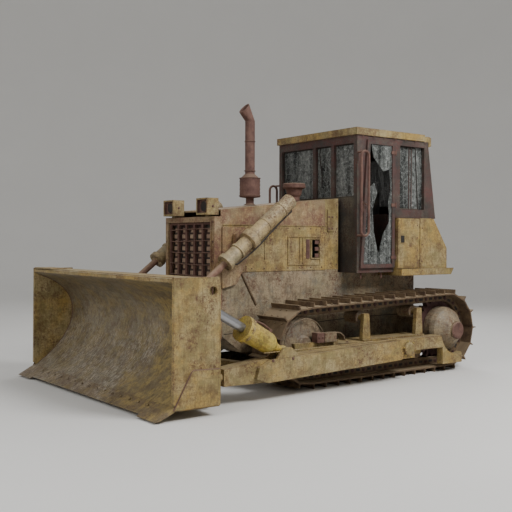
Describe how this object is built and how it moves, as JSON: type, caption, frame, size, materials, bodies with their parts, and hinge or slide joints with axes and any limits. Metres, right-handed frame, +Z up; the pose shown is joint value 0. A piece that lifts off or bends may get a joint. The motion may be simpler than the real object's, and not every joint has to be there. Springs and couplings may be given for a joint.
{
  "type": "crawler bulldozer",
  "caption": "Crawler bulldozer with a lifting and tilting straight blade on push arms, an enclosed cab with opening doors, tracks, and a hinged tool box.",
  "frame": {"origin": "middle of the footprint at ground level, halfway between the blade's tip and the rear of the tracks", "axes": "+Z up, -Y the way the machine faces, +X the machine's left side"},
  "size_m": [3.68, 5.786, 3.71],
  "materials": {
    "worn_yellow": "weathered matt paint with rust",
    "rust": "rusted through",
    "track_steel": "worn and dusty",
    "bare_steel": "scoured, partly rusted",
    "chrome": "polished rod",
    "dark_frame": "dark paint, rusted",
    "glass": "grimy, crazed",
    "seat_vinyl": "worn vinyl"
  },
  "bodies": {
    "chassis": {"main_frame": "worn_yellow", "radiator_guard": "worn_yellow", "hood": "worn_yellow", "cowl": "worn_yellow", "side_panel_left": "worn_yellow", "side_panel_right": "worn_yellow", "headlight_left": "worn_yellow", "headlight_right": "worn_yellow", "cab_roof": "worn_yellow", "rear_deck": "worn_yellow", "fuel_tank": "worn_yellow", "hydraulic_tank": "worn_yellow", "tool_box": "worn_yellow", "idler_left": "worn_yellow", "idler_right": "worn_yellow", "final_drive_left": "worn_yellow", "final_drive_right": "worn_yellow", "carrier_rollers_left": "worn_yellow", "carrier_rollers_right": "worn_yellow", "track_frame_left": "worn_yellow", "track_frame_right": "worn_yellow", "engine_block": "track_steel", "drawbar": "track_steel", "equalizer_bar": "track_steel", "track_left": "track_steel", "track_right": "track_steel", "track_rollers_left": "track_steel", "track_rollers_right": "track_steel", "radiator_grille": "rust", "exhaust": "rust", "air_cleaner": "rust", "grab_rail_left": "rust", "grab_rail_right": "rust", "radiator_core": "dark_frame", "cab_frame": "dark_frame", "dashboard": "dark_frame", "windshield": "glass", "rear_glass": "glass", "side_glass_left": "glass", "side_glass_right": "glass", "seat": "seat_vinyl"},
    "left_arm": {"push_arm_left": "worn_yellow"},
    "right_arm": {"push_arm_right": "worn_yellow"},
    "blade": {"blade": "worn_yellow", "cutting_edge": "bare_steel", "brace": "worn_yellow", "stay_right": "worn_yellow"},
    "stay": {"stay_left": "worn_yellow"},
    "tilt_barrel": {"tilt_barrel": "worn_yellow"},
    "tilt_rod": {"tilt_rod": "chrome"},
    "lift_barrel_left": {"lift_barrel_left": "worn_yellow"},
    "lift_barrel_right": {"lift_barrel_right": "worn_yellow"},
    "lift_rod_left": {"lift_rod_left": "chrome"},
    "lift_rod_right": {"lift_rod_right": "chrome"},
    "door_left": {"door_left": "dark_frame", "door_glass_left": "glass"},
    "door_right": {"door_right": "dark_frame", "door_glass_right": "glass"},
    "tool_box_door": {"tool_box_door": "worn_yellow"}
  },
  "joints": [
    {"name": "lift", "type": "hinge", "parent": "chassis", "child": "left_arm", "pos_m": [1.48, 1.097, 0.427], "axis": [-1, 0, 0], "range_deg": [-7.8, 17.5]},
    {"name": "tilt", "type": "hinge", "parent": "left_arm", "child": "blade", "pos_m": [1.48, -1.953, 0.33], "axis": [-0.6964, 0.7176, 0], "range_deg": [-8, 8]},
    {"name": "right_arm_swing", "type": "hinge", "parent": "left_arm", "child": "right_arm", "pos_m": [-1.48, 1.097, 0.427], "axis": [-1, 0, 0], "range_deg": [-5.6, 5.6]},
    {"name": "tilt_barrel_swing", "type": "hinge", "parent": "left_arm", "child": "tilt_barrel", "pos_m": [1.48, -0.973, 0.545], "axis": [-0.4557, 0.4238, 0.7827], "range_deg": [-4.3, 4.3]},
    {"name": "tilt_rod_slide", "type": "slide", "parent": "tilt_barrel", "child": "tilt_rod", "axis": [0, -0.8794, 0.4761], "range_m": [-0.065, 0.065]},
    {"name": "stay_swing", "type": "hinge", "parent": "left_arm", "child": "stay", "pos_m": [1.3097, -1.323, 0.39], "axis": [-0.6961, 0.718, -0.0001], "range_deg": [-5.6, 5.6]},
    {"name": "lift_barrel_left_swing", "type": "hinge", "parent": "chassis", "child": "lift_barrel_left", "pos_m": [0.82, -0.948, 1.869], "axis": [-1, 0, 0], "range_deg": [-16, 35.8]},
    {"name": "lift_rod_left_slide", "type": "slide", "parent": "lift_barrel_left", "child": "lift_rod_left", "axis": [0, -0.79, -0.6131], "range_m": [-0.63, 0.28]},
    {"name": "door_left_hinge", "type": "hinge", "parent": "chassis", "child": "door_left", "pos_m": [0.89, 1.582, 2.36], "axis": [0, 0, 1], "range_deg": [0, 90]},
    {"name": "lift_barrel_right_swing", "type": "hinge", "parent": "chassis", "child": "lift_barrel_right", "pos_m": [-0.82, -0.948, 1.869], "axis": [-1, 0, 0], "range_deg": [-16, 35.8]},
    {"name": "lift_rod_right_slide", "type": "slide", "parent": "lift_barrel_right", "child": "lift_rod_right", "axis": [0, -0.79, -0.6131], "range_m": [-0.63, 0.28]},
    {"name": "door_right_hinge", "type": "hinge", "parent": "chassis", "child": "door_right", "pos_m": [-0.89, 1.582, 2.36], "axis": [0, 0, -1], "range_deg": [0, 90]},
    {"name": "tool_box_hinge", "type": "hinge", "parent": "chassis", "child": "tool_box_door", "pos_m": [0.934, 2.045, 1.82], "axis": [0, 0, 1], "range_deg": [0, 110]}
  ],
  "couplings": [
    {"joint": "right_arm_swing", "follows": "tilt", "ratio": 0.69644},
    {"joint": "tilt_barrel_swing", "follows": "tilt", "ratio": 0.53257},
    {"joint": "tilt_rod_slide", "follows": "tilt", "m_per_rad": -0.45665},
    {"joint": "stay_swing", "follows": "tilt", "ratio": 0.69034},
    {"joint": "lift_barrel_left_swing", "follows": "lift", "ratio": 2.0443},
    {"joint": "lift_rod_left_slide", "follows": "lift", "m_per_rad": -2.0556},
    {"joint": "lift_barrel_right_swing", "follows": "lift", "ratio": 2.0443},
    {"joint": "lift_rod_right_slide", "follows": "lift", "m_per_rad": -2.0556}
  ]
}
